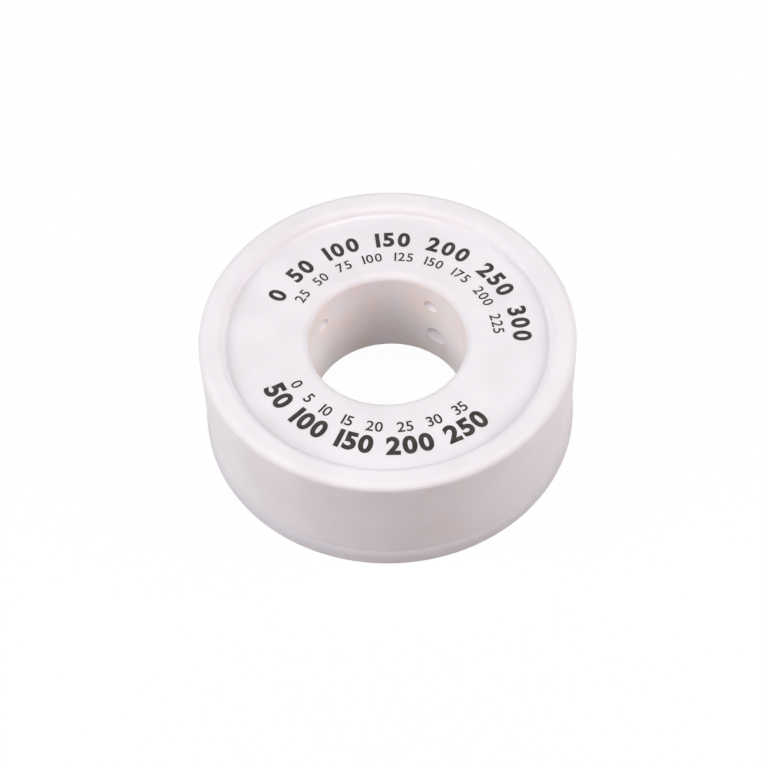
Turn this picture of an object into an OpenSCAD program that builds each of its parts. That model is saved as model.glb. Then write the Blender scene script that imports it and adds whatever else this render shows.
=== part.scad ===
// Thread seal tape roll, lying on its flange with the printed face up. Its axis is Z, and its base is at zero.
// A spool with one flange carries the wound tape. A cover with a skirt plugs into the hub and closes it in.

/* [Tape] */
// Width of the tape
tape_width = 12; // [6:0.5:25]
// Thickness of the tape
tape_thickness = 0.075; // [0.06:0.005:0.2]
// Length of tape on a full roll
tape_length = 12000; // [4000:500:20000]
// Gap between the wound tape and each end plate
side_gap = 0.35; // [0.3:0.05:1]
// Running gap between the wound tape and its loose outer lap
lap_gap = 0.05; // [0.02:0.01:0.1]
// Sweep of the outer lap from where it lifts off to its free end, in degrees
lap_end_sweep = 150; // [60:5:170]
// Gap between the free end of the lap and the skirt
lap_end_gap = 0.4; // [0.3:0.1:1]
// Direction of the lap's start round the axis, in degrees
lap_start_angle = 150; // [0:5:355]

/* [Bore, collar and hub] */
// Radius of the bore through the roll
bore_radius = 10; // [6:0.1:16]
// Wall of the collar that lines the bore
collar_wall = 1; // [0.8:0.1:1.5]
// Running gap between the collar and the hub
collar_gap = 0.08; // [0.02:0.01:0.1]
// Height of the collar's lower end above the underside of the flange web
collar_recess = 0.75; // [0:0.05:1]
// Wall of the hub that carries the tape
hub_wall = 1.2; // [0.8:0.1:2]
// Gap between the hub and the first turn of tape
winding_gap = 0.02; // [0.01:0.01:0.1]
// Gap between the top of the hub and the cover
hub_top_gap = 0.15; // [0.05:0.05:0.4]

/* [End plates and skirt] */
// Thickness of each end plate inside its rim
web = 1.2; // [1:0.05:2.5]
// Height of the cover's raised rim above the printed face
rim_height = 1.3; // [1:0.05:1.8]
// Width of the cover's raised rim
rim_width = 3.2; // [2.4:0.1:5]
// Depth of the recess under the flange
base_recess = 0.5; // [0.3:0.05:0.8]
// Width of the rim that the flange rests on
base_rim_width = 3.2; // [2.4:0.1:5]
// Wall of the skirt
skirt_wall = 1.2; // [1:0.1:2]
// Room between the wound tape and the skirt
tape_room = 1.6; // [1.5:0.1:4]
// Height above the base of the flange's raised edge, which the skirt stands on
seat_height = 3; // [2.6:0.1:4]
// How far the flange stands out past the skirt
flange_overhang = 0.25; // [0.2:0.05:0.35]

/* [Edges] */
// Rounding of the cover's upper outer edge
rim_round = 0.9; // [0.3:0.05:0.95]
// Rounding of the rim's inner edge, above the printed face
rim_inner_round = 0.95; // [0.3:0.05:0.95]
// Rounding of the bore's upper edge
mouth_round = 1; // [0.3:0.05:1.2]
// Rounding of the flange's lower outer edge
flange_round = 0.8; // [0.2:0.05:0.9]
// Radius of the soft swell that the flange's raised edge makes outside the skirt
bead_round = 4; // [3:0.25:5]
// Rounding of the small edges at the ends of the collar and hub, and under the flange
small_round = 0.3; // [0.1:0.05:0.3]
// Rounding of the skirt's lower outer edge
skirt_edge_round = 0.1; // [0.05:0.05:0.3]
// Fillet in the inside corners of both mouldings
inside_fillet = 0.35; // [0.1:0.05:0.4]

/* [Snap dents] */
// Number of shallow dents round the bore wall
dent_count = 4; // [2:1:8]
// Direction of the first dent round the axis, in degrees
dent_angle = 55; // [0:1:180]
// Height of the dents above the base
dent_height = 11.3; // [8.5:0.1:12]
// Width of a dent across the wall
dent_width = 1.8; // [1:0.1:2.5]
// Depth of a dent in the wall
dent_depth = 0.35; // [0.1:0.05:0.45]

/* [Gate mark] */
// Direction of the mark that the mould's gate left low in the bore, in degrees
gate_angle = 50; // [0:1:180]
// Height of the gate mark above the base
gate_height = 5.8; // [4:0.1:6.5]
// Width of the gate mark across the wall
gate_width = 2.6; // [1:0.1:3]
// Depth of the gate mark in the wall
gate_depth = 0.4; // [0.1:0.05:0.5]

/* [Hidden] */
$fn = 180;
overrun = 1;

// Heights
flange_top = base_recess + web;
tape_low = flange_top + side_gap;
cover_web_low = tape_low + tape_width + side_gap;
face_z = cover_web_low + web;
roll_height = face_z + rim_height;
hub_top = cover_web_low - hub_top_gap;
collar_low = base_recess + collar_recess;

// Radii, from the bore outwards
collar_outer = bore_radius + collar_wall;
hub_inner = collar_outer + collar_gap;
hub_outer = hub_inner + hub_wall;
winding_inner = hub_outer + winding_gap;
winding_outer = sqrt(pow(winding_inner, 2) + tape_length * tape_thickness / PI);
lap_inner = winding_outer - tape_thickness;
core_outer = lap_inner - lap_gap;
skirt_inner = winding_outer + tape_room;
cover_radius = skirt_inner + skirt_wall;
flange_radius = cover_radius + flange_overhang;

// The bead's arc is upright at the flange's edge and meets the seat at the skirt's outer face
bead_height = sqrt(pow(bead_round, 2) - pow(bead_round - flange_overhang, 2));

// The lap's second half turn has its centre moved over, so that its free end stands off the winding
lap_shift = (tape_room - lap_end_gap) / 2;

// A rectangle in the half section, from radius inner to outer and from height low to high
module ring_section(inner, outer, low, high) {
    translate([inner, low])
        square([outer - inner, high - low]);
}

// What a rounded corner takes off a half section. At turn 0 the corner points outwards and up.
module corner_cut(corner, radius, turn) {
    translate(corner)
        rotate(turn)
            translate([-radius, -radius])
                difference() {
                    square(radius + overrun);
                    circle(radius);
                }
}

// What a fillet adds to a half section, in an inside corner. At turn 0 the open side is outwards and up.
module corner_fill(corner, radius, turn) {
    translate(corner)
        rotate(turn)
            difference() {
                square(radius);
                translate([radius, radius])
                    circle(radius);
            }
}

// Lower flange and hub, one moulding
module spool() {
    color("whitesmoke")
        rotate_extrude()
            difference() {
                union() {
                    ring_section(hub_inner, flange_radius, base_recess, flange_top);
                    ring_section(flange_radius - base_rim_width, flange_radius, 0, flange_top);
                    ring_section(skirt_inner, flange_radius, 0, seat_height);
                    ring_section(hub_inner, hub_outer, base_recess, hub_top);
                    corner_fill([hub_outer, flange_top], inside_fillet, 0);
                    corner_fill([skirt_inner, flange_top], inside_fillet, 90);
                }
                corner_cut([flange_radius, 0], flange_round, 270);
                corner_cut([flange_radius - base_rim_width, 0], small_round, 180);
                corner_cut([flange_radius, seat_height - bead_height + bead_round], bead_round, 0);
                corner_cut([hub_inner, base_recess], small_round, 180);
                corner_cut([hub_inner, hub_top], small_round, 90);
                corner_cut([hub_outer, hub_top], small_round, 0);
            }
}

// Upper disc, skirt and collar, one moulding
module cover() {
    color("white")
        difference() {
            rotate_extrude()
                cover_section();
            snap_dents();
            bore_dent(gate_angle, gate_height, gate_width, gate_depth);
        }
}

module cover_section() {
    difference() {
        union() {
            ring_section(bore_radius, cover_radius, cover_web_low, face_z);
            ring_section(cover_radius - rim_width, cover_radius, cover_web_low, roll_height);
            ring_section(skirt_inner, cover_radius, seat_height, face_z);
            ring_section(bore_radius, collar_outer, collar_low, face_z);
            corner_fill([skirt_inner, cover_web_low], inside_fillet, 180);
            corner_fill([cover_radius - rim_width, face_z], inside_fillet, 90);
        }
        corner_cut([cover_radius, roll_height], rim_round, 0);
        corner_cut([cover_radius - rim_width, roll_height], rim_inner_round, 90);
        corner_cut([bore_radius, face_z], mouth_round, 90);
        corner_cut([bore_radius, collar_low], small_round, 180);
        corner_cut([collar_outer, collar_low], small_round, 270);
        corner_cut([cover_radius, seat_height], skirt_edge_round, 270);
    }
}

// Shallow dents in the bore wall, evenly spaced
module snap_dents() {
    for (i = [0 : dent_count - 1])
        bore_dent(dent_angle + i * 360 / dent_count, dent_height, dent_width, dent_depth);
}

// One dent in the bore wall: a cap of a sphere whose centre stays inside the bore
module bore_dent(angle, height, width, depth) {
    ball = (pow(width / 2, 2) + pow(depth, 2)) / (2 * depth);
    rotate(angle)
        translate([bore_radius + depth - ball, 0, height])
            sphere(ball);
}

// All turns of the tape but the outermost, as one plain ring
module tape_winding() {
    color("ivory")
        rotate_extrude()
            ring_section(winding_inner, core_outer, tape_low, tape_low + tape_width);
}

// The outermost turn: half of it lies on the winding, and the rest lifts off to the free end
module tape_outer_lap() {
    color("snow")
        rotate(lap_start_angle) {
            tape_arc(lap_inner, 180);
            translate([lap_shift, 0, 0])
                rotate(180)
                    tape_arc(lap_inner + lap_shift, lap_end_sweep);
        }
}

// A bent strip of tape on edge, with this inner radius and sweep
module tape_arc(inner, sweep) {
    rotate_extrude(angle = sweep)
        ring_section(inner, inner + tape_thickness, tape_low, tape_low + tape_width);
}

spool();
cover();
tape_winding();
tape_outer_lap();
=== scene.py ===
"""Looks of a thread seal tape roll: two white mouldings, the tape wound between them, and a printed scale.

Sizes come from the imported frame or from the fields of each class. Fields are in millimetres and degrees, and
meshes are in metres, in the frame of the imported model: the axis is Z, and the base is at zero.
"""

import logging
import math
from dataclasses import dataclass
from enum import Enum
from typing import Any

import bmesh
import bpy
from mathutils import Matrix, Vector


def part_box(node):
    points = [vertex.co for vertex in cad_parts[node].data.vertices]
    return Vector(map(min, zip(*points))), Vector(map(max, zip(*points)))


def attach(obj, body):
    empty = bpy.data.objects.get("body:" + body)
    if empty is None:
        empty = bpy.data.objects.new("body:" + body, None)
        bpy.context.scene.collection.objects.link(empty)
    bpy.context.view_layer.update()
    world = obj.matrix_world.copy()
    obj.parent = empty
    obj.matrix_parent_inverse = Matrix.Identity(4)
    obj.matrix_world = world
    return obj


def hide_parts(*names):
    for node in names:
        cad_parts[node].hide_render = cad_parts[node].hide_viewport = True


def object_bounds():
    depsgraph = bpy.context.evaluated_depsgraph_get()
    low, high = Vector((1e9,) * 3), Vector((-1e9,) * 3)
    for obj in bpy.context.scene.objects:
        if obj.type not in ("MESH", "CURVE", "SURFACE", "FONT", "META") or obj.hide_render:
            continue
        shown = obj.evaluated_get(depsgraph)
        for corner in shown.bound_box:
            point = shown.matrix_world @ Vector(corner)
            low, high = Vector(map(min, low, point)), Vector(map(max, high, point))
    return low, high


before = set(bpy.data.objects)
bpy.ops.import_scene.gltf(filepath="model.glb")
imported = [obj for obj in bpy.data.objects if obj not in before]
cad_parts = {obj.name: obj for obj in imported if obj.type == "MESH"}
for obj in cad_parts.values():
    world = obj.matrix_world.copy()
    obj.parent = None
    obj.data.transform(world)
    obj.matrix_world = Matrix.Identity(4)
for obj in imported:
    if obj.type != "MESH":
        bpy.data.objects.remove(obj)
CAD_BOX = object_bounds()

MM = 0.001
LOG = logging.getLogger("tape_roll")
WHITE = (1.0, 1.0, 1.0, 1.0)

# Points closer than this, in millimetres, are one point
DOUBLES = 1e-4

# Octaves of detail in a noise pattern, from soft to crisp, and the middle of its range
SOFT_DETAIL = 1.0
EVEN_DETAIL = 2.0
ROUGH_DETAIL = 3.0
CRISP_DETAIL = 4.0
NOISE_MIDDLE = 0.5

# Sockets of a mix node, which go by number because their names repeat for each type of data
MIX_SHARE = 0
MIX_FLOAT_A = 2
MIX_FLOAT_B = 3
MIX_COLOUR_A = 6
MIX_COLOUR_B = 7
MIX_COLOUR_OUT = 2


class Body(Enum):
    """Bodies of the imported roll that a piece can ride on."""

    SPOOL = "spool"
    LAP = "tape_end"
    COVER = "cover"


class Slot(Enum):
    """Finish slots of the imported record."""

    INK = "print_ink"
    TAPE = "ptfe_tape"


class Reading(Enum):
    """Which way the tops of figures on an arc point.

    The value is 1 for a row that runs clockwise, seen from above, and -1 for one that runs the other way.
    """

    TOPS_OUT = 1
    TOPS_IN = -1


def linear(hex_code: str) -> tuple[float, float, float, float]:
    """Turns an sRGB hex colour into a linear one.

    Args:
        hex_code: colour such as "#F0F0F0".

    Returns:
        Linear red, green and blue, and an alpha of 1.
    """
    shares = [int(hex_code[i:i + 2], 16) / 255 for i in (1, 3, 5)]
    red, green, blue = [s / 12.92 if s <= 0.04045 else ((s + 0.055) / 1.055) ** 2.4 for s in shares]
    return red, green, blue, 1.0


def add_node(tree: bpy.types.NodeTree, kind: str, inputs: dict[str | int, Any] | None = None,
             **settings: Any) -> bpy.types.Node:
    """Adds a node with its settings and its links.

    Args:
        tree: tree that takes the node.
        kind: Blender's name for the type of node.
        inputs: for an input's name or number, the output socket to link to it or the value to set.
        **settings: properties of the node itself.

    Returns:
        The new node.
    """
    node = tree.nodes.new(kind)
    for name, value in settings.items():
        setattr(node, name, value)
    for key, value in (inputs or {}).items():
        if isinstance(value, bpy.types.NodeSocket):
            tree.links.new(value, node.inputs[key])
        else:
            node.inputs[key].default_value = value
    return node


def new_material(name: str) -> tuple[bpy.types.Material, bpy.types.NodeTree]:
    """Makes a material with an empty node tree.

    Args:
        name: name of the finish.

    Returns:
        The material and its tree.
    """
    material = bpy.data.materials.new(name)
    material.use_nodes = True
    material.node_tree.nodes.clear()
    return material, material.node_tree


def new_piece(name: str, mesh: bpy.types.Mesh | None = None) -> bpy.types.Object:
    """Puts an object with this mesh, or an empty one, in the scene at the origin.

    Args:
        name: name of the piece.
        mesh: its mesh, if there is one yet.

    Returns:
        The object.
    """
    piece = bpy.data.objects.new(name, mesh or bpy.data.meshes.new(name))
    bpy.context.scene.collection.objects.link(piece)
    return piece


def plain_mesh(piece: bpy.types.Object) -> bpy.types.Mesh:
    """Gives an object's evaluated shape as a mesh of its own.

    Args:
        piece: object with modifiers, or a text object.

    Returns:
        The new mesh.
    """
    bpy.context.view_layer.update()
    depsgraph = bpy.context.evaluated_depsgraph_get()
    return bpy.data.meshes.new_from_object(piece.evaluated_get(depsgraph))


def run_tree(piece: bpy.types.Object, tree: bpy.types.GeometryNodeTree, values: dict[str, Any]) -> None:
    """Runs a node tree on a piece and keeps the result as its plain mesh.

    Args:
        piece: mesh object that the tree starts from.
        tree: geometry node tree with named inputs.
        values: a value for each input's name.
    """
    modifier = piece.modifiers.new(tree.name, "NODES")
    modifier.node_group = tree
    for item in tree.interface.items_tree:
        if item.item_type == "SOCKET" and item.in_out == "INPUT" and item.name in values:
            modifier[item.identifier] = values[item.name]
    mesh = plain_mesh(piece)
    piece.modifiers.clear()
    piece.data = mesh
    mesh.name = piece.name


def new_tree(name: str, inputs: dict[str, str]) -> tuple[bpy.types.GeometryNodeTree, bpy.types.Node]:
    """Starts a geometry node tree with named inputs.

    Args:
        name: name of the tree.
        inputs: socket type for each input's name, past the geometry.

    Returns:
        The tree and its input node.
    """
    tree = bpy.data.node_groups.new(name, "GeometryNodeTree")
    tree.interface.new_socket("Geometry", in_out="INPUT", socket_type="NodeSocketGeometry")
    tree.interface.new_socket("Geometry", in_out="OUTPUT", socket_type="NodeSocketGeometry")
    for label, kind in inputs.items():
        tree.interface.new_socket(label, in_out="INPUT", socket_type=kind)
    return tree, add_node(tree, "NodeGroupInput")


def end_tree(tree: bpy.types.GeometryNodeTree, geometry: bpy.types.NodeSocket,
             material: bpy.types.NodeSocket) -> None:
    """Ends a geometry node tree in real geometry that carries its finish.

    Args:
        tree: tree to end.
        geometry: socket with the shape.
        material: socket with the finish.
    """
    real = add_node(tree, "GeometryNodeRealizeInstances", {"Geometry": geometry})
    dressed = add_node(tree, "GeometryNodeSetMaterial", {"Geometry": real.outputs[0], "Material": material})
    add_node(tree, "NodeGroupOutput", {"Geometry": dressed.outputs[0]})


def close_mesh(mesh: bpy.types.Mesh, smooth_angle: float) -> None:
    """Merges doubles, turns faces outwards and smooths all but the sharp edges.

    Args:
        mesh: mesh to finish.
        smooth_angle: edges that bend less than this, in degrees, are smooth.
    """
    work = bmesh.new()
    work.from_mesh(mesh)
    bmesh.ops.remove_doubles(work, verts=work.verts, dist=DOUBLES * MM)
    bmesh.ops.recalc_face_normals(work, faces=work.faces)
    work.to_mesh(mesh)
    work.free()
    mesh.shade_smooth()
    mesh.set_sharp_from_angle(angle=math.radians(smooth_angle))


def settle(piece: bpy.types.Object, body: Body, stands_for: str | None = None) -> None:
    """Sets a finished piece on its body and logs it.

    Args:
        piece: the finished piece.
        body: body that it rides on.
        stands_for: node that it replaces, if any.
    """
    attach(piece, body.value)
    if stands_for:
        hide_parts(stands_for)
    LOG.info("%s rides on %s, %d faces", piece.name, body.value, len(piece.data.polygons))


@dataclass(frozen=True)
class MouldedPolypropylene:
    """White polypropylene, injection moulded in a lightly polished mould.

    Each pair of limits gives the noise values at which a pattern starts and is full.
    """

    # The eye sees a soft cool white with a wide, low gloss, faint clouds where the melt flowed, and edges
    # that let a little light through. Inside the bore the core pin leaves an uneven skin, and its warmer
    # blotches are painted shade and painted light through the translucent wall.
    # The grain is drawn coarser than a polished mould's own, so that it shows.
    name: str
    colour: str = "#EFEAEE"
    cloud_colour: str = "#E9E3E7"
    # Warm tint of the bore's blotches: painted shade and painted light seen through the translucent wall
    bore_colour: str = "#F2E4DF"
    speck_colour: str = "#8A7F78"
    bore_radius: float = 10.0
    bore_blend: float = 0.15
    cloud_size: float = 8.0
    cloud_limits: tuple[float, float] = (0.35, 0.7)
    blotch_size: float = 3.6
    blotch_limits: tuple[float, float] = (0.25, 0.75)
    grain_size: float = 0.45
    grain_depth: float = 0.004
    dimple_size: float = 1.6
    dimple_depth: float = 0.05
    specks: tuple[tuple[float, float, float], ...] = ()
    speck_radius: float = 0.16
    gloss_limits: tuple[float, float] = (0.3, 0.7)
    gloss_range: tuple[float, float] = (0.58, 0.68)
    bore_gloss: float = 0.36
    ior: float = 1.49
    specular: float = 0.15
    glow_depth: float = 0.8
    glow_weight: float = 0.2
    glow_reach: tuple[float, float, float] = (1.0, 0.9, 0.85)

    def build(self) -> bpy.types.Material:
        """Makes the material.

        Returns:
            The material.
        """
        material, tree = new_material(self.name)
        place = add_node(tree, "ShaderNodeTexCoord").outputs["Object"]
        flat = add_node(tree, "ShaderNodeVectorMath", {0: place, 1: (1, 1, 0)}, operation="MULTIPLY")
        radius = add_node(tree, "ShaderNodeVectorMath", {0: flat.outputs[0]}, operation="LENGTH")
        in_bore = add_node(tree, "ShaderNodeMapRange", {
            "Value": radius.outputs["Value"],
            "From Min": self.bore_radius * MM,
            "From Max": (self.bore_radius + self.bore_blend) * MM,
            "To Min": 1.0,
            "To Max": 0.0,
        }).outputs[0]
        colour = self.mixed_colour(tree, place, in_bore)
        gloss = add_node(tree, "ShaderNodeTexNoise", {
            "Vector": place, "Scale": 1 / (self.blotch_size * MM), "Detail": ROUGH_DETAIL})
        roughness = add_node(tree, "ShaderNodeMapRange", {
            "Value": gloss.outputs["Fac"],
            "From Min": self.gloss_limits[0],
            "From Max": self.gloss_limits[1],
            "To Min": self.gloss_range[0],
            "To Max": self.gloss_range[1],
        })
        polished = add_node(tree, "ShaderNodeMix", {
            MIX_SHARE: in_bore,
            MIX_FLOAT_A: roughness.outputs[0],
            MIX_FLOAT_B: self.bore_gloss,
        }, data_type="FLOAT")
        shader = add_node(tree, "ShaderNodeBsdfPrincipled", {
            "Base Color": colour,
            "Roughness": polished.outputs[0],
            "IOR": self.ior,
            "Specular IOR Level": self.specular,
            "Subsurface Weight": self.glow_weight,
            "Subsurface Radius": self.glow_reach,
            "Subsurface Scale": self.glow_depth * MM,
            "Normal": self.uneven_skin(tree, place, in_bore),
        })
        add_node(tree, "ShaderNodeOutputMaterial", {"Surface": shader.outputs[0]})
        return material

    def mixed_colour(self, tree: bpy.types.NodeTree, place: bpy.types.NodeSocket,
                     in_bore: bpy.types.NodeSocket) -> bpy.types.NodeSocket:
        """Adds the clouds, the warmer blotches in the bore, which are painted shade and painted light through
        the wall, and the specks of dirt.

        Args:
            tree: the material's tree.
            place: socket with the place on the piece.
            in_bore: socket that is 1 in the bore.

        Returns:
            Socket with the colour.
        """
        cloud = add_node(tree, "ShaderNodeTexNoise", {
            "Vector": place, "Scale": 1 / (self.cloud_size * MM), "Detail": EVEN_DETAIL})
        cloud_share = add_node(tree, "ShaderNodeMapRange", {
            "Value": cloud.outputs["Fac"],
            "From Min": self.cloud_limits[0],
            "From Max": self.cloud_limits[1],
        })
        outside = add_node(tree, "ShaderNodeMix", {
            MIX_SHARE: cloud_share.outputs[0],
            MIX_COLOUR_A: linear(self.colour),
            MIX_COLOUR_B: linear(self.cloud_colour),
        }, data_type="RGBA")
        # Warmer blotches in the bore: painted shade and painted light seen through the translucent wall
        blotch = add_node(tree, "ShaderNodeTexNoise", {
            "Vector": place, "Scale": 1 / (self.blotch_size * MM), "Detail": SOFT_DETAIL})
        bore_shade_share = add_node(tree, "ShaderNodeMapRange", {
            "Value": blotch.outputs["Fac"],
            "From Min": self.blotch_limits[0],
            "From Max": self.blotch_limits[1],
        })
        bore_shade = add_node(tree, "ShaderNodeMix", {
            MIX_SHARE: bore_shade_share.outputs[0],
            MIX_COLOUR_A: linear(self.colour),
            MIX_COLOUR_B: linear(self.bore_colour),
        }, data_type="RGBA")
        body = add_node(tree, "ShaderNodeMix", {
            MIX_SHARE: in_bore,
            MIX_COLOUR_A: outside.outputs[MIX_COLOUR_OUT],
            MIX_COLOUR_B: bore_shade.outputs[MIX_COLOUR_OUT],
        }, data_type="RGBA")
        tone = body.outputs[MIX_COLOUR_OUT]
        for spot in self.specks:
            away = add_node(tree, "ShaderNodeVectorMath", {
                0: place, 1: tuple(c * MM for c in spot)}, operation="DISTANCE")
            dirty = add_node(tree, "ShaderNodeMapRange", {
                "Value": away.outputs["Value"],
                "From Min": self.speck_radius * MM / 2,
                "From Max": self.speck_radius * MM,
                "To Min": 1.0,
                "To Max": 0.0,
            })
            spotted = add_node(tree, "ShaderNodeMix", {
                MIX_SHARE: dirty.outputs[0],
                MIX_COLOUR_A: tone,
                MIX_COLOUR_B: linear(self.speck_colour),
            }, data_type="RGBA")
            tone = spotted.outputs[MIX_COLOUR_OUT]
        return tone

    def uneven_skin(self, tree: bpy.types.NodeTree, place: bpy.types.NodeSocket,
                    in_bore: bpy.types.NodeSocket) -> bpy.types.NodeSocket:
        """Adds the fine grain of the mould, and the wider dimples in the bore.

        Args:
            tree: the material's tree.
            place: socket with the place on the piece.
            in_bore: socket that is 1 in the bore.

        Returns:
            Socket with the normal.
        """
        grain = add_node(tree, "ShaderNodeTexNoise", {
            "Vector": place, "Scale": 1 / (self.grain_size * MM), "Detail": ROUGH_DETAIL})
        fine = add_node(tree, "ShaderNodeBump", {
            "Height": grain.outputs["Fac"], "Strength": 1.0, "Distance": self.grain_depth * MM})
        dimple = add_node(tree, "ShaderNodeTexNoise", {
            "Vector": place, "Scale": 1 / (self.dimple_size * MM), "Detail": SOFT_DETAIL})
        height = add_node(tree, "ShaderNodeMath", {
            0: dimple.outputs["Fac"], 1: in_bore}, operation="MULTIPLY")
        return add_node(tree, "ShaderNodeBump", {
            "Height": height.outputs[0],
            "Strength": 1.0,
            "Distance": self.dimple_depth * MM,
            "Normal": fine.outputs[0],
        }).outputs[0]


@dataclass(frozen=True)
class PadPrintedInk:
    """Dark warm grey ink, pad printed."""

    # The eye sees a flat, dull, dark mark that is a little thinner and paler in places
    name: str
    colour: str = "#2A2220"
    thin_colour: str = "#463D3A"
    patch_size: float = 0.9
    patch_limits: tuple[float, float] = (0.45, 0.75)
    roughness: float = 0.55
    ior: float = 1.5
    specular: float = 0.3

    def build(self) -> bpy.types.Material:
        """Makes the material.

        Returns:
            The material.
        """
        material, tree = new_material(self.name)
        place = add_node(tree, "ShaderNodeTexCoord").outputs["Object"]
        patch = add_node(tree, "ShaderNodeTexNoise", {
            "Vector": place, "Scale": 1 / (self.patch_size * MM), "Detail": CRISP_DETAIL})
        share = add_node(tree, "ShaderNodeMapRange", {
            "Value": patch.outputs["Fac"],
            "From Min": self.patch_limits[0],
            "From Max": self.patch_limits[1],
        })
        colour = add_node(tree, "ShaderNodeMix", {
            MIX_SHARE: share.outputs[0],
            MIX_COLOUR_A: linear(self.colour),
            MIX_COLOUR_B: linear(self.thin_colour),
        }, data_type="RGBA")
        shader = add_node(tree, "ShaderNodeBsdfPrincipled", {
            "Base Color": colour.outputs[MIX_COLOUR_OUT],
            "Roughness": self.roughness,
            "IOR": self.ior,
            "Specular IOR Level": self.specular,
        })
        add_node(tree, "ShaderNodeOutputMaterial", {"Surface": shader.outputs[0]})
        return material


@dataclass(frozen=True)
class StretchedFilm:
    """White PTFE film, calendered and not sintered."""

    # The eye sees a matt chalky white with faint streaks that are drawn out along the strip
    name: str
    colour: str = "#F7F5F6"
    streak_colour: str = "#EFECED"
    streak_size: float = 0.6
    streak_stretch: float = 8.0
    streak_limits: tuple[float, float] = (0.35, 0.75)
    roughness: float = 0.62
    ior: float = 1.35
    glow_depth: float = 0.3
    glow_weight: float = 0.25
    glow_reach: tuple[float, float, float] = (1.0, 1.0, 1.0)

    def build(self) -> bpy.types.Material:
        """Makes the material.

        Returns:
            The material.
        """
        material, tree = new_material(self.name)
        place = add_node(tree, "ShaderNodeTexCoord").outputs["Object"]
        drawn = add_node(tree, "ShaderNodeVectorMath", {
            0: place, 1: (1 / self.streak_stretch, 1 / self.streak_stretch, 1)}, operation="MULTIPLY")
        streak = add_node(tree, "ShaderNodeTexNoise", {
            "Vector": drawn.outputs[0], "Scale": 1 / (self.streak_size * MM), "Detail": ROUGH_DETAIL})
        share = add_node(tree, "ShaderNodeMapRange", {
            "Value": streak.outputs["Fac"],
            "From Min": self.streak_limits[0],
            "From Max": self.streak_limits[1],
        })
        colour = add_node(tree, "ShaderNodeMix", {
            MIX_SHARE: share.outputs[0],
            MIX_COLOUR_A: linear(self.colour),
            MIX_COLOUR_B: linear(self.streak_colour),
        }, data_type="RGBA")
        shader = add_node(tree, "ShaderNodeBsdfPrincipled", {
            "Base Color": colour.outputs[MIX_COLOUR_OUT],
            "Roughness": self.roughness,
            "IOR": self.ior,
            "Subsurface Weight": self.glow_weight,
            "Subsurface Radius": self.glow_reach,
            "Subsurface Scale": self.glow_depth * MM,
        })
        add_node(tree, "ShaderNodeOutputMaterial", {"Surface": shader.outputs[0]})
        return material


@dataclass
class Mouldings:
    """The spool and the cover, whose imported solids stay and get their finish."""

    spool_finish: MouldedPolypropylene
    cover_finish: MouldedPolypropylene

    def dress(self) -> None:
        """Gives both mouldings their finish."""
        for name, finish in (("spool", self.spool_finish), ("cover", self.cover_finish)):
            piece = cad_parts[name]
            material = finish.build()
            for holder in piece.material_slots:
                holder.material = material
            LOG.info("%s keeps its solid, in %s", name, material.name)


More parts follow.
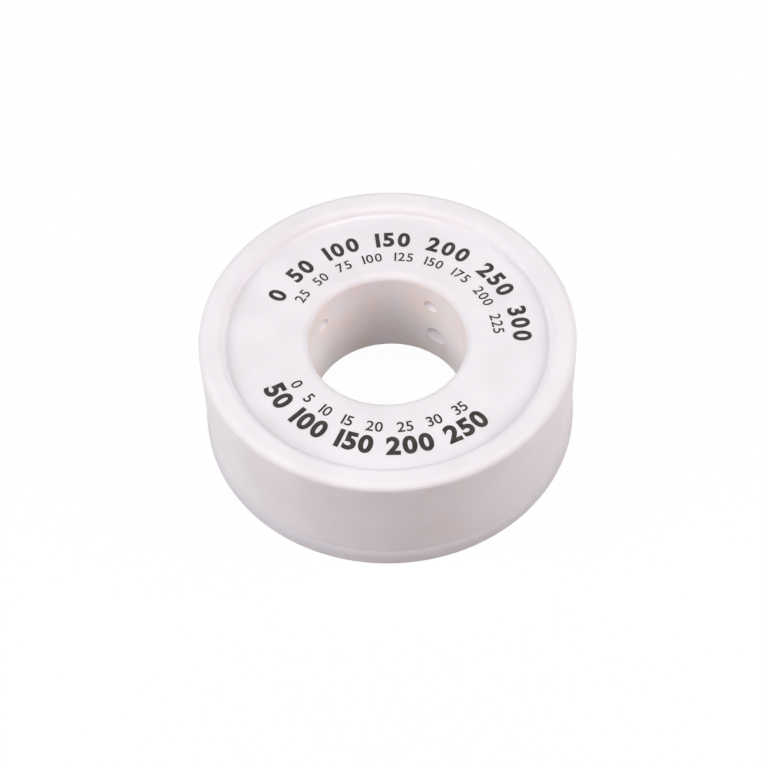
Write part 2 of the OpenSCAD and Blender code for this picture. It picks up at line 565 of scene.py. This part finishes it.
@dataclass
class WoundTape:
    """All turns of the tape but the outermost, one strip in a spiral round the hub."""

    finish: bpy.types.Material
    pitch: float = 0.075
    film: float = 0.062
    points_per_turn: int = 90
    edge_wander: float = 0.12
    wander_spacing: float = 0.35
    wander_roughness: float = 0.6
    end_angle: float = 150.0
    smooth_angle: float = 30.0
    seed: float = 4.0

    def tree(self) -> bpy.types.GeometryNodeTree:
        """Builds the node tree of the spiral.

        Returns:
            The tree.
        """
        tree, given = new_tree("WoundTape", {
            "Turns": "NodeSocketFloat",
            "Points per turn": "NodeSocketInt",
            "Inner radius": "NodeSocketFloat",
            "Outer radius": "NodeSocketFloat",
            "Start angle": "NodeSocketFloat",
            "Middle height": "NodeSocketFloat",
            "Tape width": "NodeSocketFloat",
            "Film": "NodeSocketFloat",
            "Edge wander": "NodeSocketFloat",
            "Wander spacing": "NodeSocketFloat",
            "Seed": "NodeSocketFloat",
            "Finish": "NodeSocketMaterial",
        })
        value = given.outputs
        spiral = add_node(tree, "GeometryNodeCurveSpiral", {
            "Resolution": value["Points per turn"],
            "Rotations": value["Turns"],
            "Start Radius": value["Inner radius"],
            "End Radius": value["Outer radius"],
            "Height": 0.0,
        })
        turn = add_node(tree, "ShaderNodeCombineXYZ", {"Z": value["Start angle"]})
        rise = add_node(tree, "ShaderNodeCombineXYZ", {"Z": value["Middle height"]})
        placed = add_node(tree, "GeometryNodeTransform", {
            "Geometry": spiral.outputs[0], "Translation": rise.outputs[0], "Rotation": turn.outputs[0]})
        upright = add_node(tree, "GeometryNodeSetCurveNormal", {"Curve": placed.outputs[0]}, mode="Z_UP")
        profile = add_node(tree, "GeometryNodeCurvePrimitiveQuadrilateral", {
            "Width": value["Film"], "Height": value["Tape width"]})
        strip = add_node(tree, "GeometryNodeCurveToMesh", {
            "Curve": upright.outputs[0], "Profile Curve": profile.outputs[0], "Fill Caps": True})
        place = add_node(tree, "GeometryNodeInputPosition").outputs[0]
        flat = add_node(tree, "ShaderNodeVectorMath", {0: place, 1: (1, 1, 0)}, operation="MULTIPLY")
        radius = add_node(tree, "ShaderNodeVectorMath", {0: flat.outputs[0]}, operation="LENGTH")
        steps = add_node(tree, "ShaderNodeMath", {
            0: radius.outputs["Value"], 1: value["Wander spacing"]}, operation="DIVIDE")
        seeded = add_node(tree, "ShaderNodeMath", {0: steps.outputs[0], 1: value["Seed"]}, operation="ADD")
        noise = add_node(tree, "ShaderNodeTexNoise", {
            "W": seeded.outputs[0],
            "Scale": 1.0,
            "Detail": ROUGH_DETAIL,
            "Roughness": self.wander_roughness,
        }, noise_dimensions="1D")
        centred = add_node(tree, "ShaderNodeMath", {
            0: noise.outputs["Fac"], 1: NOISE_MIDDLE}, operation="SUBTRACT")
        lift = add_node(tree, "ShaderNodeMath", {
            0: centred.outputs[0], 1: value["Edge wander"]}, operation="MULTIPLY")
        offset = add_node(tree, "ShaderNodeCombineXYZ", {"Z": lift.outputs[0]})
        uneven = add_node(tree, "GeometryNodeSetPosition", {
            "Geometry": strip.outputs[0], "Offset": offset.outputs[0]})
        end_tree(tree, uneven.outputs[0], value["Finish"])
        return tree

    def build(self) -> None:
        """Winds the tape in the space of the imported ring."""
        low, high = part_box("tape_winding")
        inner = self.inner_radius()
        outer = high.x - self.film * MM / 2
        turns = (outer - inner) / (self.pitch * MM)
        start = self.end_angle - 360.0 * turns
        # The noise runs half of its range to either side, so the wander is given twice
        wander = 2 * self.edge_wander * MM
        piece = new_piece("tape_spiral")
        run_tree(piece, self.tree(), {
            "Turns": turns,
            "Points per turn": self.points_per_turn,
            "Inner radius": inner,
            "Outer radius": outer,
            "Start angle": math.radians(start),
            "Middle height": (low.z + high.z) / 2,
            "Tape width": high.z - low.z,
            "Film": self.film * MM,
            "Edge wander": wander,
            "Wander spacing": self.wander_spacing * MM,
            "Seed": self.seed,
            "Finish": self.finish,
        })
        close_mesh(piece.data, self.smooth_angle)
        settle(piece, Body.SPOOL, "tape_winding")

    def inner_radius(self) -> float:
        """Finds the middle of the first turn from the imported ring's own points, in metres."""
        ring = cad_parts["tape_winding"].data.vertices
        return min(math.hypot(v.co.x, v.co.y) for v in ring) + self.film * MM / 2


@dataclass
class LooseLap:
    """The outermost turn: half of it lies on the winding, and the rest lifts off to the free end."""

    finish: bpy.types.Material
    film: float = 0.075
    start_angle: float = 150.0
    laid_sweep: float = 180.0
    end_sweep: float = 150.0
    shift: float = 0.6
    gap: float = 0.05
    points: int = 260
    width_cuts: int = 9
    ripple: float = 0.11
    ripple_length: float = 5.0
    ripple_start_share: float = 0.5
    ripple_full_share: float = 0.9
    tear: float = 0.5
    tear_size: float = 1.1
    tear_start_share: float = 0.999
    smooth_angle: float = 40.0
    seed: float = 7.0

    def route(self) -> list[tuple[float, float, float]]:
        """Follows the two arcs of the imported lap.

        Returns:
            Points along the middle of the film, in metres.
        """
        low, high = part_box("tape_outer_lap")
        _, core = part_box("tape_winding")
        radius = core.x + (self.gap + self.film / 2) * MM
        middle = (low.z + high.z) / 2
        first = math.radians(self.start_angle)
        centre = Vector((math.cos(first), math.sin(first))) * self.shift * MM
        sweep = self.laid_sweep + self.end_sweep
        found = []
        for i in range(self.points):
            along = sweep * i / (self.points - 1)
            angle = first + math.radians(along)
            if along <= self.laid_sweep:
                found.append((radius * math.cos(angle), radius * math.sin(angle), middle))
            else:
                wide = radius + self.shift * MM
                found.append((centre.x + wide * math.cos(angle), centre.y + wide * math.sin(angle), middle))
        return found

    def tree(self) -> bpy.types.GeometryNodeTree:
        """Builds the node tree that sweeps the film along its route.

        Returns:
            The tree.
        """
        tree, given = new_tree("LooseLap", {
            "Tape width": "NodeSocketFloat",
            "Film": "NodeSocketFloat",
            "Ripple": "NodeSocketFloat",
            "Ripple length": "NodeSocketFloat",
            "Tear": "NodeSocketFloat",
            "Tear size": "NodeSocketFloat",
            "Seed": "NodeSocketFloat",
            "Finish": "NodeSocketMaterial",
        })
        value = given.outputs
        curve = add_node(tree, "GeometryNodeMeshToCurve", {"Mesh": value["Geometry"]})
        upright = add_node(tree, "GeometryNodeSetCurveNormal", {"Curve": curve.outputs[0]}, mode="Z_UP")
        along = add_node(tree, "GeometryNodeSplineParameter").outputs["Factor"]
        tangent = add_node(tree, "GeometryNodeInputTangent").outputs[0]
        kept = add_node(tree, "GeometryNodeCaptureAttribute", {"Geometry": upright.outputs[0]})
        kept.capture_items.new("FLOAT", "Along")
        kept.capture_items.new("VECTOR", "Tangent")
        tree.links.new(along, kept.inputs["Along"])
        tree.links.new(tangent, kept.inputs["Tangent"])
        profile = add_node(tree, "GeometryNodeCurvePrimitiveQuadrilateral", {
            "Width": value["Film"], "Height": value["Tape width"]})
        finer = add_node(tree, "GeometryNodeSubdivideCurve", {
            "Curve": profile.outputs[0], "Cuts": self.width_cuts})
        strip = add_node(tree, "GeometryNodeCurveToMesh", {
            "Curve": kept.outputs[0], "Profile Curve": finer.outputs[0], "Fill Caps": True})
        place = add_node(tree, "GeometryNodeInputPosition").outputs[0]
        flat = add_node(tree, "ShaderNodeVectorMath", {0: place, 1: (1, 1, 0)}, operation="MULTIPLY")
        outwards = add_node(tree, "ShaderNodeVectorMath", {0: flat.outputs[0]}, operation="NORMALIZE")
        wave_scale = add_node(tree, "ShaderNodeMath", {
            0: 1.0, 1: value["Ripple length"]}, operation="DIVIDE")
        wave = add_node(tree, "ShaderNodeTexNoise", {
            "Vector": place,
            "W": value["Seed"],
            "Scale": wave_scale.outputs[0],
            "Detail": SOFT_DETAIL,
        }, noise_dimensions="4D")
        loose = add_node(tree, "ShaderNodeMapRange", {
            "Value": kept.outputs["Along"],
            "From Min": self.ripple_start_share,
            "From Max": self.ripple_full_share,
        })
        height = add_node(tree, "ShaderNodeMath", {
            0: wave.outputs["Fac"], 1: value["Ripple"]}, operation="MULTIPLY")
        swell = add_node(tree, "ShaderNodeMath", {
            0: height.outputs[0], 1: loose.outputs[0]}, operation="MULTIPLY")
        bulge = add_node(tree, "ShaderNodeVectorMath", {
            0: outwards.outputs[0], "Scale": swell.outputs[0]}, operation="SCALE")
        tear_scale = add_node(tree, "ShaderNodeMath", {0: 1.0, 1: value["Tear size"]}, operation="DIVIDE")
        torn = add_node(tree, "ShaderNodeTexNoise", {
            "Vector": place,
            "W": value["Seed"],
            "Scale": tear_scale.outputs[0],
            "Detail": ROUGH_DETAIL,
        }, noise_dimensions="4D")
        last = add_node(tree, "ShaderNodeMath", {
            0: kept.outputs["Along"], 1: self.tear_start_share}, operation="GREATER_THAN")
        reach = add_node(tree, "ShaderNodeMath", {
            0: torn.outputs["Fac"], 1: value["Tear"]}, operation="MULTIPLY")
        cut = add_node(tree, "ShaderNodeMath", {
            0: reach.outputs[0], 1: last.outputs[0]}, operation="MULTIPLY")
        pull = add_node(tree, "ShaderNodeVectorMath", {
            0: kept.outputs["Tangent"], "Scale": cut.outputs[0]}, operation="SCALE")
        moved = add_node(tree, "ShaderNodeVectorMath", {
            0: bulge.outputs[0], 1: pull.outputs[0]}, operation="ADD")
        uneven = add_node(tree, "GeometryNodeSetPosition", {
            "Geometry": strip.outputs[0], "Offset": moved.outputs[0]})
        end_tree(tree, uneven.outputs[0], value["Finish"])
        return tree

    def build(self) -> None:
        """Lays the lap over the winding."""
        low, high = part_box("tape_outer_lap")
        points = self.route()
        path = bpy.data.meshes.new("tape_loose_lap")
        path.from_pydata(points, [(i, i + 1) for i in range(len(points) - 1)], [])
        piece = new_piece("tape_loose_lap", path)
        run_tree(piece, self.tree(), {
            "Tape width": high.z - low.z,
            "Film": self.film * MM,
            "Ripple": self.ripple * MM,
            "Ripple length": self.ripple_length * MM,
            "Tear": self.tear * MM,
            "Tear size": self.tear_size * MM,
            "Seed": self.seed,
            "Finish": self.finish,
        })
        close_mesh(piece.data, self.smooth_angle)
        settle(piece, Body.LAP, "tape_outer_lap")


@dataclass(frozen=True)
class FigureRow:
    """A row of plain numbers on an arc of the face, with equal gaps between them.

    The weight thickens a figure by a share of the type's size, and the digit gap is a share of its height.
    """

    numbers: tuple[int, ...]
    first_angle: float
    last_angle: float
    base_radius: float
    cap_height: float
    reading: Reading
    weight: float
    digit_gap: float = 0.14


@dataclass
class PrintedScale:
    """Dark scale printed on the cover's face: numbers on four arcs round the bore."""

    finish: bpy.types.Material
    rows: tuple[FigureRow, ...]
    rim_height: float = 1.3
    shift: tuple[float, float] = (0.6, -0.2)
    ink: float = 0.02
    sunk: float = 0.01
    curve_steps: int = 6
    smooth_angle: float = 30.0

    def face_height(self) -> float:
        """Gives the height of the printed face, in metres."""
        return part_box("cover")[1].z - self.rim_height * MM

    def glyph(self, character: str, row: FigureRow) -> tuple[bpy.types.Mesh, float]:
        """Makes one figure as a flat mesh with its middle at zero.

        Args:
            character: the figure.
            row: row that it stands in.

        Returns:
            The mesh and the figure's width, in metres.
        """
        text = bpy.data.curves.new("figure", "FONT")
        text.body = character
        text.offset = row.weight
        text.resolution_u = self.curve_steps
        holder = bpy.data.objects.new("figure", text)
        bpy.context.scene.collection.objects.link(holder)
        mesh = plain_mesh(holder)
        bpy.data.objects.remove(holder)
        bpy.data.curves.remove(text)
        xs = [v.co.x for v in mesh.vertices]
        ys = [v.co.y for v in mesh.vertices]
        scale = row.cap_height * MM / (max(ys) - min(ys))
        shift = Vector((-(max(xs) + min(xs)) / 2, -min(ys), 0))
        mesh.transform(Matrix.Scale(scale, 4) @ Matrix.Translation(shift))
        return mesh, (max(xs) - min(xs)) * scale

    def figure_mesh(self, row: FigureRow, work: bmesh.types.BMesh) -> None:
        """Adds a row of numbers to the print, each figure square to its own radius.

        Args:
            row: the row.
            work: mesh that takes the figures.
        """
        words = [[self.glyph(c, row) for c in str(number)] for number in row.numbers]
        radius = row.base_radius * MM
        close = row.digit_gap * row.cap_height * MM
        inked = sum(sum(width for _, width in word) + close * (len(word) - 1) for word in words)
        arc = math.radians(abs(row.last_angle - row.first_angle)) * radius
        open_gap = (arc - inked) / (len(words) - 1)
        along = 0.0
        for word in words:
            for mesh, width in word:
                swept = (along + width / 2) / radius
                angle = math.radians(row.first_angle) - row.reading.value * swept
                spot = Vector((math.cos(angle), math.sin(angle), 0)) * radius
                spin = angle - row.reading.value * math.pi / 2
                mesh.transform(Matrix.Translation(spot) @ Matrix.Rotation(spin, 4, "Z"))
                work.from_mesh(mesh)
                bpy.data.meshes.remove(mesh)
                along += width + close
            along += open_gap - close

    def build(self) -> None:
        """Makes all numbers as one thin piece of ink."""
        work = bmesh.new()
        for row in self.rows:
            self.figure_mesh(row, work)
        mesh = bpy.data.meshes.new("print_figures")
        work.to_mesh(mesh)
        work.free()
        low = self.face_height() - self.sunk * MM
        mesh.transform(Matrix.Translation((self.shift[0] * MM, self.shift[1] * MM, low)))
        piece = new_piece("print_figures", mesh)
        mesh.materials.append(self.finish)
        layer = piece.modifiers.new("ink", "SOLIDIFY")
        layer.thickness = (self.ink + self.sunk) * MM
        # At an offset of 1 the ink grows upwards only
        layer.offset = 1.0
        thick = plain_mesh(piece)
        piece.modifiers.clear()
        piece.data = thick
        thick.name = "print_figures"
        close_mesh(thick, self.smooth_angle)
        settle(piece, Body.COVER)


@dataclass(frozen=True)
class Softbox:
    """A square area lamp that points at the roll.

    The level is the share of full white that it gives a white face turned to it.
    """

    name: str
    azimuth: float
    elevation: float
    level: float
    colour: str = "#FFFFFF"
    size: float = 300.0
    distance: float = 400.0

    def build(self, target: Vector) -> None:
        """Hangs the lamp.

        Args:
            target: point that it lights.
        """
        lamp = bpy.data.lights.new(self.name, "AREA")
        lamp.shape = "SQUARE"
        lamp.size = self.size * MM
        lamp.color = linear(self.colour)[:3]
        # Power at which a white face that is turned to the lamp from this distance renders as full white
        full_white = (math.pi * self.distance * MM) ** 2
        lamp.energy = self.level * full_white
        holder = bpy.data.objects.new(self.name, lamp)
        bpy.context.scene.collection.objects.link(holder)
        turn = math.radians(self.azimuth)
        rise = math.radians(self.elevation)
        back = Vector((math.sin(turn) * math.cos(rise), -math.cos(turn) * math.cos(rise), math.sin(rise)))
        holder.location = target + back * self.distance * MM
        holder.rotation_mode = "QUATERNION"
        holder.rotation_quaternion = back.to_track_quat("Z", "Y")


@dataclass(frozen=True)
class PhotoCamera:
    """Camera at the photograph's place, found from the roll's outline there."""

    lens: float = 94.74
    sensor: float = 36.0
    distance: float = 259.82
    aim_height: float = 8.45
    elevation: float = 52.925
    yaw: float = -0.143
    pitch: float = 0.344
    roll: float = -2.096
    clip_near: float = 10.0
    clip_far: float = 10000.0

    def build(self) -> None:
        """Makes the scene's camera."""
        data = bpy.data.cameras.new("photo_camera")
        data.lens = self.lens
        data.sensor_width = self.sensor
        data.clip_start = self.clip_near * MM
        data.clip_end = self.clip_far * MM
        holder = bpy.data.objects.new("photo_camera", data)
        bpy.context.scene.collection.objects.link(holder)
        rise = math.radians(self.elevation)
        back = Vector((0, -math.cos(rise), math.sin(rise)))
        axes = Matrix(((1, 0, 0), (0, math.sin(rise), math.cos(rise)), back))
        axes = Matrix.Rotation(math.radians(self.yaw), 3, "Y") @ axes
        axes = Matrix.Rotation(math.radians(self.pitch), 3, "X") @ axes
        axes = Matrix.Rotation(math.radians(-self.roll), 3, "Z") @ axes
        spot = Vector((0, 0, self.aim_height * MM)) + back * self.distance * MM
        holder.matrix_world = Matrix.Translation(spot) @ axes.transposed().to_4x4()
        bpy.context.scene.camera = holder


@dataclass
class Studio:
    """Plain white floor, soft lamps and an even sky."""

    lamps: tuple[Softbox, ...]
    sky_level: float = 0.03
    sky_colour: str = "#FFFFFF"
    floor_size: float = 3000.0
    floor_drop: float = 0.02
    floor_colour: str = "#A5A19E"
    floor_glow: float = 0.97

    def floor_finish(self) -> bpy.types.Material:
        """Makes the floor's finish: white with a faint shadow where it is seen, a dull sheet to other light.

        Returns:
            The material.
        """
        material, tree = new_material("matt_backing_sheet")
        sheet = add_node(tree, "ShaderNodeBsdfDiffuse", {"Color": linear(self.floor_colour)})
        white = add_node(tree, "ShaderNodeBsdfDiffuse", {"Color": WHITE})
        glow = add_node(tree, "ShaderNodeEmission", {"Color": WHITE, "Strength": 1.0})
        shadowed = add_node(tree, "ShaderNodeMixShader", {
            0: self.floor_glow, 1: white.outputs[0], 2: glow.outputs[0]})
        mixed = add_node(tree, "ShaderNodeMixShader", {
            0: self.seen_directly(tree), 1: sheet.outputs[0], 2: shadowed.outputs[0]})
        add_node(tree, "ShaderNodeOutputMaterial", {"Surface": mixed.outputs[0]})
        return material

    def seen_directly(self, tree: bpy.types.NodeTree) -> bpy.types.NodeSocket:
        """Adds the test for rays that show the background, straight or in gloss or glass.

        Args:
            tree: tree of the floor or the sky.

        Returns:
            Socket that is 1 for such a ray.
        """
        path = add_node(tree, "ShaderNodeLightPath")
        straight = add_node(tree, "ShaderNodeMath", {
            0: path.outputs["Is Camera Ray"], 1: path.outputs["Is Transmission Ray"]}, operation="MAXIMUM")
        return add_node(tree, "ShaderNodeMath", {
            0: straight.outputs[0], 1: path.outputs["Is Glossy Ray"]}, operation="MAXIMUM").outputs[0]

    def build(self) -> None:
        """Lays the floor, hangs the lamps and sets the sky."""
        self.lay_floor()
        low, high = CAD_BOX
        for lamp in self.lamps:
            lamp.build((low + high) / 2)
        self.set_sky()
        bpy.context.scene.view_settings.view_transform = "Standard"

    def lay_floor(self) -> None:
        """Lays a square sheet just under the roll."""
        half = self.floor_size * MM / 2
        level = -self.floor_drop * MM
        mesh = bpy.data.meshes.new("floor")
        corners = [(-half, -half, level), (half, -half, level), (half, half, level), (-half, half, level)]
        mesh.from_pydata(corners, [], [(0, 1, 2, 3)])
        mesh.materials.append(self.floor_finish())
        new_piece("floor", mesh)

    def set_sky(self) -> None:
        """Sets an even sky, which is white where it is seen."""
        world = bpy.data.worlds.new("soft_sky")
        bpy.context.scene.world = world
        world.use_nodes = True
        tree = world.node_tree
        tree.nodes.clear()
        sky = add_node(tree, "ShaderNodeBackground", {
            "Color": linear(self.sky_colour), "Strength": self.sky_level})
        white = add_node(tree, "ShaderNodeBackground", {"Color": WHITE, "Strength": 1.0})
        mixed = add_node(tree, "ShaderNodeMixShader", {
            0: self.seen_directly(tree), 1: sky.outputs[0], 2: white.outputs[0]})
        add_node(tree, "ShaderNodeOutputWorld", {"Surface": mixed.outputs[0]})


def main() -> None:
    """Builds the roll, its finishes and the studio."""
    logging.basicConfig(level=logging.INFO, format="%(name)s: %(message)s")
    PhotoCamera().build()
    Mouldings(
        spool_finish=MouldedPolypropylene(
            "moulded_polypropylene_spool",
            # The spool is drawn a greyer, cooler white than the cover, which darkens the band at the foot of
            # the roll
            colour="#DFDCE3",
            cloud_colour="#D9D5DC",
            specks=((9.52, -21.73, 0.6),),
        ),
        cover_finish=MouldedPolypropylene(
            "moulded_polypropylene_cover",
            specks=((-20.26, 3.85, 16.9),),
        ),
    ).dress()
    film = StretchedFilm("unsintered_ptfe_film").build()
    WoundTape(film).build()
    LooseLap(film).build()
    PrintedScale(
        finish=PadPrintedInk("pad_printed_ink").build(),
        rows=(
            FigureRow(
                numbers=tuple(range(0, 350, 50)),
                first_angle=155.0,
                last_angle=-4.0,
                base_radius=15.15,
                cap_height=2.4,
                reading=Reading.TOPS_OUT,
                weight=0.036,
            ),
            FigureRow(
                numbers=tuple(range(25, 250, 25)),
                first_angle=151.0,
                last_angle=1.0,
                base_radius=12.75,
                cap_height=1.4,
                reading=Reading.TOPS_OUT,
                weight=0.008,
            ),
            FigureRow(
                numbers=tuple(range(0, 40, 5)),
                first_angle=207.0,
                last_angle=309.0,
                base_radius=14.45,
                cap_height=1.5,
                reading=Reading.TOPS_IN,
                weight=0.01,
            ),
            FigureRow(
                numbers=tuple(range(50, 300, 50)),
                first_angle=204.0,
                last_angle=311.0,
                base_radius=17.8,
                cap_height=2.7,
                reading=Reading.TOPS_IN,
                weight=0.042,
            ),
        ),
    ).build()
    Studio(lamps=(
        Softbox("left_softbox", azimuth=-72.0, elevation=40.0, level=0.71),
        Softbox("right_softbox", azimuth=78.0, elevation=40.0, level=0.74),
        Softbox("left_low_fill", azimuth=-70.0, elevation=15.0, level=0.2),
        Softbox("right_low_fill", azimuth=66.0, elevation=15.0, level=0.07),
        Softbox("high_front_fill", azimuth=0.0, elevation=60.0, level=0.13, colour="#E6FFFF"),
        Softbox("warm_front_fill", azimuth=18.0, elevation=15.0, level=0.09, colour="#FF9A8A"),
        Softbox("back_fill", azimuth=180.0, elevation=12.0, level=0.3),
    )).build()


if __name__ == "__main__":
    main()
